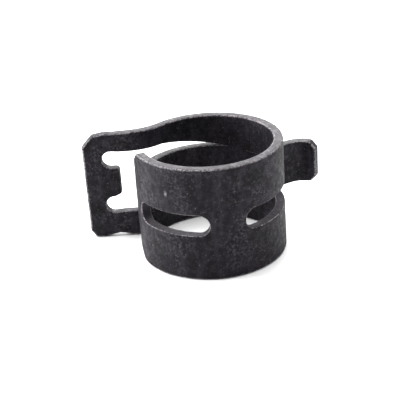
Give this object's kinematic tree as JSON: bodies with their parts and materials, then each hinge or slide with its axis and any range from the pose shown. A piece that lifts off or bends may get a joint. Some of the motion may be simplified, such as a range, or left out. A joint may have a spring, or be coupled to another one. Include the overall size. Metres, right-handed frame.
{
  "type": "spring band hose clamp",
  "caption": "Self-tensioning spring band clamp for a small hose: a slotted steel strip rolled into a ring whose tongue passes between two arms, with two ears squeezed to open it.",
  "frame": {"origin": "On the ring's axis, in the plane of the lower rim", "axes": "+Z along the ring's axis, the saddle at -Y, both ears towards +Y, the window ear at -X and the tongue ear at +X"},
  "size_m": [0.0253, 0.0152, 0.012],
  "materials": {
    "phosphated_steel": "matt black manganese phosphate on spring steel, faintly mottled",
    "sheared_edge": "phosphated sheared edge, greyer and slightly worn"
  },
  "bodies": {
    "saddle": {"saddle": "phosphated_steel"},
    "slot_rails_1": {"slot_rail_upper_1": "phosphated_steel", "slot_rail_lower_1": "phosphated_steel"},
    "slot_rails_2": {"slot_rail_upper_2": "phosphated_steel", "slot_rail_lower_2": "phosphated_steel"},
    "shoulder": {"shoulder": "phosphated_steel"},
    "tongue_1": {"tongue_1": "phosphated_steel"},
    "tongue_2": {"tongue_2": "phosphated_steel"},
    "tongue_3": {"tongue_3": "phosphated_steel"},
    "tongue_end": {"tongue_root": "phosphated_steel", "tongue_ear": "phosphated_steel"},
    "window_rails_1": {"window_rail_upper_1": "phosphated_steel", "window_rail_lower_1": "phosphated_steel"},
    "window_rails_2": {"window_rail_upper_2": "phosphated_steel", "window_rail_lower_2": "phosphated_steel"},
    "window_flare": {"window_flare_upper": "phosphated_steel", "window_flare_lower": "phosphated_steel"},
    "arms_1": {"arm_upper_1": "phosphated_steel", "arm_lower_1": "phosphated_steel"},
    "arms_2": {"arm_upper_2": "phosphated_steel", "arm_lower_2": "phosphated_steel"},
    "arms_3": {"arm_upper_3": "phosphated_steel", "arm_lower_3": "phosphated_steel"},
    "window_end": {"ear_arm_upper": "phosphated_steel", "ear_arm_lower": "phosphated_steel", "ear_bridge": "phosphated_steel"}
  },
  "joints": [
    {"name": "tongue_side_bend_1", "type": "hinge", "parent": "saddle", "child": "slot_rails_1", "pos_m": [-0.00236, -0.00728, 0.006], "axis": [0, 0, 1], "range_deg": [0, 4.8], "stiffness_Nm_per_rad": 0.002},
    {"name": "tongue_side_bend_2", "type": "hinge", "parent": "slot_rails_1", "child": "slot_rails_2", "pos_m": [-0.00531, -0.0055, 0.006], "axis": [0, 0, 1], "range_deg": [0, 4.8]},
    {"name": "tongue_side_bend_3", "type": "hinge", "parent": "slot_rails_2", "child": "shoulder", "pos_m": [-0.00719, -0.00262, 0.006], "axis": [0, 0, 1], "range_deg": [0, 4.8]},
    {"name": "tongue_side_bend_4", "type": "hinge", "parent": "shoulder", "child": "tongue_1", "pos_m": [-0.00761, 0.0008, 0.006], "axis": [0, 0, 1], "range_deg": [0, 4.8]},
    {"name": "tongue_side_bend_5", "type": "hinge", "parent": "tongue_1", "child": "tongue_2", "pos_m": [-0.00649, 0.00405, 0.006], "axis": [0, 0, 1], "range_deg": [0, 4.8]},
    {"name": "tongue_side_bend_6", "type": "hinge", "parent": "tongue_2", "child": "tongue_3", "pos_m": [-0.00405, 0.00649, 0.006], "axis": [0, 0, 1], "range_deg": [0, 4.8]},
    {"name": "tongue_side_bend_7", "type": "hinge", "parent": "tongue_3", "child": "tongue_end", "pos_m": [-0.0008, 0.00761, 0.006], "axis": [0, 0, 1], "range_deg": [0, 4.8]},
    {"name": "window_side_bend_1", "type": "hinge", "parent": "saddle", "child": "window_rails_1", "pos_m": [0.00236, -0.00728, 0.006], "axis": [0, 0, -1], "range_deg": [0, 4.8]},
    {"name": "window_side_bend_2", "type": "hinge", "parent": "window_rails_1", "child": "window_rails_2", "pos_m": [0.0055, -0.00531, 0.006], "axis": [0, 0, -1], "range_deg": [0, 4.8]},
    {"name": "window_side_bend_3", "type": "hinge", "parent": "window_rails_2", "child": "window_flare", "pos_m": [0.00735, -0.00211, 0.006], "axis": [0, 0, -1], "range_deg": [0, 4.8]},
    {"name": "window_side_bend_4", "type": "hinge", "parent": "window_flare", "child": "arms_1", "pos_m": [0.00748, 0.00159, 0.006], "axis": [0, 0, -1], "range_deg": [0, 4.8]},
    {"name": "window_side_bend_5", "type": "hinge", "parent": "arms_1", "child": "arms_2", "pos_m": [0.00586, 0.00492, 0.006], "axis": [0, 0, -1], "range_deg": [0, 4.8]},
    {"name": "window_side_bend_6", "type": "hinge", "parent": "arms_2", "child": "arms_3", "pos_m": [0.00287, 0.00709, 0.006], "axis": [0, 0, -1], "range_deg": [0, 4.8]},
    {"name": "window_side_bend_7", "type": "hinge", "parent": "arms_3", "child": "window_end", "pos_m": [-0.0008, 0.00761, 0.006], "axis": [0, 0, -1], "range_deg": [0, 4.8]}
  ],
  "couplings": [
    {"joint": "tongue_side_bend_2", "follows": "tongue_side_bend_1", "ratio": 1},
    {"joint": "tongue_side_bend_3", "follows": "tongue_side_bend_1", "ratio": 1},
    {"joint": "tongue_side_bend_4", "follows": "tongue_side_bend_1", "ratio": 1},
    {"joint": "tongue_side_bend_5", "follows": "tongue_side_bend_1", "ratio": 1},
    {"joint": "tongue_side_bend_6", "follows": "tongue_side_bend_1", "ratio": 1},
    {"joint": "tongue_side_bend_7", "follows": "tongue_side_bend_1", "ratio": 1},
    {"joint": "window_side_bend_1", "follows": "tongue_side_bend_1", "ratio": 1},
    {"joint": "window_side_bend_2", "follows": "tongue_side_bend_1", "ratio": 1},
    {"joint": "window_side_bend_3", "follows": "tongue_side_bend_1", "ratio": 1},
    {"joint": "window_side_bend_4", "follows": "tongue_side_bend_1", "ratio": 1},
    {"joint": "window_side_bend_5", "follows": "tongue_side_bend_1", "ratio": 1},
    {"joint": "window_side_bend_6", "follows": "tongue_side_bend_1", "ratio": 1},
    {"joint": "window_side_bend_7", "follows": "tongue_side_bend_1", "ratio": 1}
  ]
}
